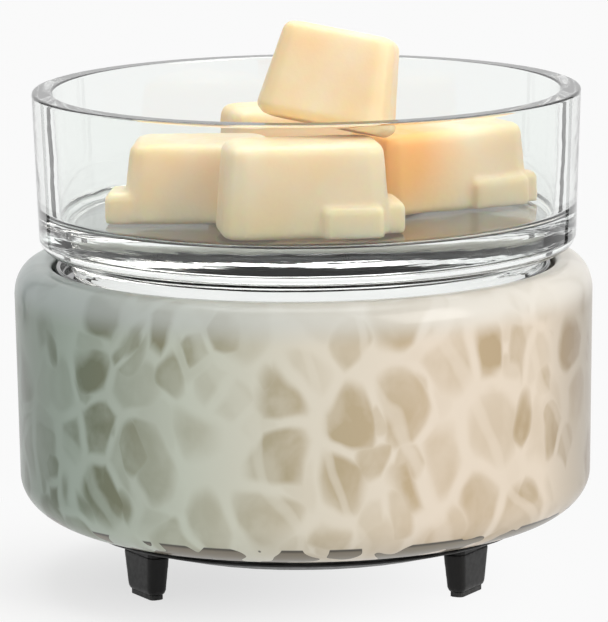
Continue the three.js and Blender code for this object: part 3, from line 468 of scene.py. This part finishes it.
MATERIALS = {
    "cased_glass": mottled_glass(),
    "clear_glass": clear_glass(),
    "wax": wax(),
    "black_enamel": speckled("black_enamel", (0.014, 0.014, 0.015), (0.01, 0.01, 0.01), 0.02,
                             depth=0.000002, specular=0.8),
    "black_plastic": speckled("black_plastic", (0.01, 0.0095, 0.009), (0.007, 0.007, 0.007), 0.4,
                              specular=0.22),
    "silicone": speckled("silicone", (0.03, 0.03, 0.03), (0.02, 0.02, 0.02), 0.7),
    "aluminium": speckled("aluminium", (0.8, 0.81, 0.82), (0.7, 0.71, 0.72), 0.35, metallic=1),
    "mica": speckled("mica", (0.55, 0.47, 0.34), (0.42, 0.35, 0.24), 0.55, grain=300),
    "heating_alloy": speckled("heating_alloy", (0.35, 0.33, 0.3), (0.22, 0.2, 0.2), 0.4,
                              metallic=1),
    "steel": speckled("steel", (0.6, 0.61, 0.62), (0.5, 0.5, 0.51), 0.3, metallic=1),
    "ceramic": speckled("ceramic", (0.8, 0.77, 0.7), (0.72, 0.69, 0.62), 0.6),
    "sleeve": speckled("sleeve", (0.7, 0.66, 0.57), (0.55, 0.51, 0.42), 0.85,
                       grain=1500, depth=0.0001),
}

# Enamel where it touches the glass: nothing is left to mirror.
SEAT_BLACK = speckled("seat_black", (0.016, 0.015, 0.013), (0.01, 0.01, 0.01), 0.9, specular=0)


def dress(piece, slot, body, *nodes, look=None):
    """Gives a new piece its material and body, and hides the CAD nodes that it stands for."""
    piece.data.materials.append(look or MATERIALS[slot])
    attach(piece, body)
    if nodes:
        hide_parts(*nodes)


def dress_cad_nodes():
    for entry in frame["record"]["subparts"]:
        mesh = frame["nodes"][entry["node"]].data
        mesh.materials.clear()
        mesh.materials.append(MATERIALS[entry["material_slot"]])


dress_cad_nodes()


# Glass housing

def housing_outside():
    """Profile of the outside from the ground ring up to the recess in the lip."""
    shoulder, shoulder_z = GLASS_HIGH.x - SHOULDER_RUN, GLASS_HIGH.z - SHOULDER_RISE
    lip_z = GLASS_HIGH.z - LIP_ROUND
    return [
        *arc(HEEL_START, HEEL_Z, HEEL_RUN, HEEL_RISE, 270, 360, 28),
        *arc(shoulder, shoulder_z, SHOULDER_RUN, SHOULDER_RISE, 0, 90, 20),
        *arc(RECESS + LIP_ROUND, lip_z, LIP_ROUND, LIP_ROUND, 90, 180, 8),
    ]


def housing_inside():
    """Profile of the inside from the ledge of the hot plate down to the foot ring."""
    neck = RECESS - LEDGE_WIDTH
    neck_z = LEDGE_Z - NECK_LENGTH
    inner_top = GLASS_HIGH.x - HOUSING_WALL
    inner_low = inner_top - HOUSING_TAPER
    return [
        (neck, LEDGE_Z),
        (neck, neck_z),
        *arc(neck, neck_z - SHOULDER_RISE, inner_top - neck, SHOULDER_RISE, 70, 0, 10),
        *arc(HEEL_START, HEEL_Z, inner_low - HEEL_START, HEEL_RISE - HOUSING_WALL, 0, -90, 12),
        (HEEL_START - LAND_WIDTH, HEEL_Z - HEEL_RISE + HOUSING_WALL),
    ]


def make_housing():
    profile = [
        (HEEL_START - LAND_WIDTH, GLASS_LOW.z),
        *housing_outside(),
        (RECESS, LEDGE_Z),
        *housing_inside(),
    ]
    dress(revolve("housing", held(profile)), "cased_glass", "warmer", "glass_housing")


make_housing()


# Hot plate

def make_pan():
    """Pan with a rolled rim."""
    radius, top = PAN_HIGH.x, PAN_HIGH.z
    inner = radius - PLATE
    half = PLATE / 2
    profile = [
        (0, PAN_UNDER),
        *arc(inner, PAN_UNDER + PLATE, PLATE, PLATE, 270, 360, 8),
        *arc(radius - half, top - half, half, half, 0, 180, 10),
        (inner, PAN_FACE + half),
        *arc(inner - half, PAN_FACE + half, half, half, 360, 270, 4),
        (0, PAN_FACE),
    ]
    dress(revolve("pan", held(profile)), "black_enamel", "warmer", "hot_plate")


def make_crown():
    """Low round that stands proud of the pan and bears on the dish."""
    low, high = PAN_FACE - PLATE / 2, DISH_LOW.z + CROWN_CONTACT
    crown = revolve("pan_crown", [
        (0, low),
        (CROWN_RADIUS, low),
        (CROWN_RADIUS, PAN_FACE),
        (CROWN_RADIUS - CROWN_EDGE, high),
        (0, high),
    ], CROWN_FACETS)
    crown.data.transform(Matrix.Translation(CROWN_PLACE))
    dress(crown, "black_enamel", "warmer", look=SEAT_BLACK)


def make_studs():
    """Three studs welded under the pan."""
    low, high = PAN_LOW.z, PAN_UNDER + PLATE / 2
    for side, degrees in STUD_ANGLES.items():
        angle = math.radians(degrees)
        place = (STUD_CIRCLE * math.sin(angle), -STUD_CIRCLE * math.cos(angle), 0)
        profile = [(0, low), (STUD_RADIUS, low), (STUD_RADIUS, high), (0, high)]
        stud = revolve(f"stud_{side}", profile, STUD_FACETS)
        stud.data.transform(Matrix.Translation(place))
        dress(stud, "black_enamel", "warmer")


make_pan()
make_crown()
make_studs()


# Feet

def make_feet():
    for side in ("left", "right", "rear"):
        foot = softened(f"peg_{side}", f"foot_{side}", FOOT_VOXEL, FOOT_ROUNDS)
        dress(foot, "black_plastic", "warmer", f"foot_{side}")


make_feet()


# Dish and wax

def set_down(piece):
    """Moves a piece of the dish to where the dish was set down."""
    piece.data.transform(Matrix.Translation(DISH_SHIFT))
    return piece


def dish_outside():
    """Profile of the dish from the middle of its foot up to the top of its wall."""
    low = DISH_HIGH.x - DISH_TAPER
    corner_z = DISH_LOW.z + DISH_FOOT_HEIGHT
    foot_z, ledge_z = DISH_LOW.z + FOOT_FILLET, corner_z - FOOT_FILLET
    bevel, bevel_z = DISH_HIGH.x - DISH_BEVEL, DISH_HIGH.z - DISH_BEVEL
    return [
        (0, DISH_LOW.z),
        *arc(DISH_FOOT - FOOT_FILLET, foot_z, FOOT_FILLET, FOOT_FILLET, 270, 360, 8),
        *arc(DISH_FOOT + FOOT_FILLET, ledge_z, FOOT_FILLET, FOOT_FILLET, 180, 90, 8),
        *arc(low - DISH_CORNER, corner_z + DISH_CORNER, DISH_CORNER, DISH_CORNER, 270, 360, 14),
        *arc(bevel, bevel_z, DISH_BEVEL, DISH_BEVEL, 0, 90, 6),
    ]


def dish_inside():
    """Profile of the dish from the inner edge of its rim down to the middle of its floor."""
    inner = DISH_HIGH.x - DISH_TAPER - DISH_WALL
    bevel, bevel_z = DISH_HIGH.x - DISH_WALL + DISH_BEVEL, DISH_HIGH.z - DISH_BEVEL
    fillet, fillet_z = inner - DISH_FILLET, DISH_FLOOR_Z + DISH_FILLET
    return [
        *arc(bevel, bevel_z, DISH_BEVEL, DISH_BEVEL, 90, 180, 6),
        *arc(fillet, fillet_z, DISH_FILLET, DISH_FILLET, 360, 270, 10),
        (0, DISH_FLOOR_Z),
    ]


def make_dish():
    glass = revolve("dish_glass", held([*dish_outside(), *dish_inside()]))
    dress(set_down(glass), "clear_glass", "dish", "wax_dish")


def make_melts():
    for side in ("front", "left", "right", "back", "top"):
        melt = softened(f"melt_{side}", f"wax_melt_{side}", MELT_VOXEL, MELT_ROUNDS)
        dress(set_down(melt), "wax", "dish", f"wax_melt_{side}")


make_dish()
make_melts()


# Floor and backdrop

BACKDROP = 0.955  # how bright the empty background shows
FLOOR_REACH = 1.6
SHADOW_FADE = 0.72  # share of plain background in the floor where the shadow is deepest
SHADOW_PLACE, SHADOW_REACH = (-0.035, -0.006, 0), 0.09
WORLD_COLOUR, WORLD_STRENGTH = (1, 0.99, 0.975, 1), 0.34


def background_rays(tree):
    """One for what the camera sees directly, in gloss or through glass."""
    path = node(tree, "ShaderNodeLightPath")
    seen = math_node(tree, "ADD", path.outputs["Is Camera Ray"], path.outputs["Is Glossy Ray"])
    return math_node(tree, "ADD", seen, path.outputs["Is Transmission Ray"], clamp=True)


def mix_shaders(tree, factor, first, second, output):
    """Sends two shaders, mixed by a factor, to an output node."""
    mixed = node(tree, "ShaderNodeMixShader", {0: factor})
    tree.links.new(first.outputs[0], mixed.inputs[1])
    tree.links.new(second.outputs[0], mixed.inputs[2])
    tree.links.new(mixed.outputs[0], tree.nodes[output].inputs["Surface"])


def make_floor():
    """White floor that keeps the shadow, and shows as plain background farther out."""
    near, far = -FLOOR_REACH, FLOOR_REACH
    corners = [(near, near, 0), (far, near, 0), (far, far, 0), (near, far, 0)]
    floor = mesh_object("floor", corners, [[0, 1, 2, 3]])
    made, tree, shader = material("floor", (0.9, 0.9, 0.9), 0.7)
    shader.inputs["Specular IOR Level"].default_value = 0.1
    away = vector_node(tree, "DISTANCE", {0: place_of(tree), 1: SHADOW_PLACE}, "Value")
    outside = smooth_step(tree, away, 0.0, SHADOW_REACH, SHADOW_FADE, 1.0)
    fade = math_node(tree, "MULTIPLY", outside, background_rays(tree))
    plain = node(tree, "ShaderNodeEmission", {"Color": (BACKDROP, BACKDROP, BACKDROP, 1)})
    mix_shaders(tree, fade, shader, plain, "Material Output")
    floor.data.materials.append(made)


def make_world():
    """Plain light for the object, and a white background."""
    world = bpy.data.worlds.new("studio")
    bpy.context.scene.world = world
    world.use_nodes = True
    tree = world.node_tree
    light = tree.nodes["Background"]
    light.inputs["Color"].default_value = WORLD_COLOUR
    light.inputs["Strength"].default_value = WORLD_STRENGTH
    white = (BACKDROP, BACKDROP, BACKDROP, 1)
    backdrop = node(tree, "ShaderNodeBackground", {"Color": white, "Strength": 1.0})
    mix_shaders(tree, background_rays(tree), light, backdrop, "World Output")


make_floor()
make_world()


# Dark backdrops at the sides, out of the picture, for the thick glass to show

CARD_PLACE = Vector((0.235, 0.25, 0))
CARD_WIDTH, CARD_HEIGHT = 0.034, 0.3


def make_cards():
    look = speckled("card", (0.06, 0.06, 0.06), (0.05, 0.05, 0.05), 0.9)
    for name, x in (("card_left", -CARD_PLACE.x), ("card_right", CARD_PLACE.x)):
        left, right, y = x - CARD_WIDTH / 2, x + CARD_WIDTH / 2, CARD_PLACE.y
        corners = [(left, y, 0), (right, y, 0), (right, y, CARD_HEIGHT), (left, y, CARD_HEIGHT)]
        card = mesh_object(name, corners, [[0, 1, 2, 3]])
        card.data.materials.append(look)
        card.visible_camera = card.visible_diffuse = card.visible_shadow = False


make_cards()


# Lamps

LAMP_TARGET = Vector((0, 0, 0.06))
LAMPS = {
    "key": {"at": (0.85, -0.62, 0.75), "size": 0.7, "power": 9, "colour": (1, 0.95, 0.89)},
    "fill": {"at": (-0.9, -0.6, 0.5), "size": 0.7, "power": 0.8, "colour": (0.9, 1, 0.97)},
    "top": {"at": (0.0, 0.15, 1.0), "size": 0.8, "power": 7, "colour": (1, 1, 1)},
}


def make_lamp(name, at, size, power, colour):
    data = bpy.data.lights.new(name, "AREA")
    data.shape = "RECTANGLE"
    data.size = data.size_y = size
    data.energy = power
    data.color = colour
    made = bpy.data.objects.new(name, data)
    made.location = at
    made.rotation_euler = (LAMP_TARGET - Vector(at)).to_track_quat("-Z", "Y").to_euler()
    bpy.context.scene.collection.objects.link(made)


for name, settings in LAMPS.items():
    make_lamp(name, **settings)


# Camera, fitted to the photograph

PHOTO_WIDTH, PHOTO_HEIGHT = 608, 622
SENSOR = 36  # millimetres
CAMERA_DISTANCE = 1.0333
CAMERA_PITCH = math.radians(10.357)
CAMERA_ROLL = math.radians(-0.6)
PIXELS_PER_METRE = 4722.2  # at the aimed point
AIM = Vector((0, 0, 0.0519))
AIM_PIXEL = (303.97, 334.16)


def make_camera():
    data = bpy.data.cameras.new("camera")
    data.sensor_fit = "VERTICAL"
    data.sensor_height = SENSOR
    data.sensor_width = SENSOR
    data.lens = PIXELS_PER_METRE * CAMERA_DISTANCE * SENSOR / PHOTO_HEIGHT
    data.shift_x = (PHOTO_WIDTH / 2 - AIM_PIXEL[0]) / PHOTO_HEIGHT
    data.shift_y = (AIM_PIXEL[1] - PHOTO_HEIGHT / 2) / PHOTO_HEIGHT
    camera = bpy.data.objects.new("camera", data)
    back = Vector((0, -math.cos(CAMERA_PITCH), math.sin(CAMERA_PITCH)))
    tilt = Matrix.Rotation(math.pi / 2 - CAMERA_PITCH, 4, "X")
    roll = Matrix.Rotation(CAMERA_ROLL, 4, "Z")
    camera.matrix_world = Matrix.Translation(AIM + back * CAMERA_DISTANCE) @ (tilt @ roll)
    bpy.context.scene.collection.objects.link(camera)
    bpy.context.scene.camera = camera


make_camera()

bpy.context.scene.view_settings.view_transform = "Standard"
bpy.context.view_layer.update()
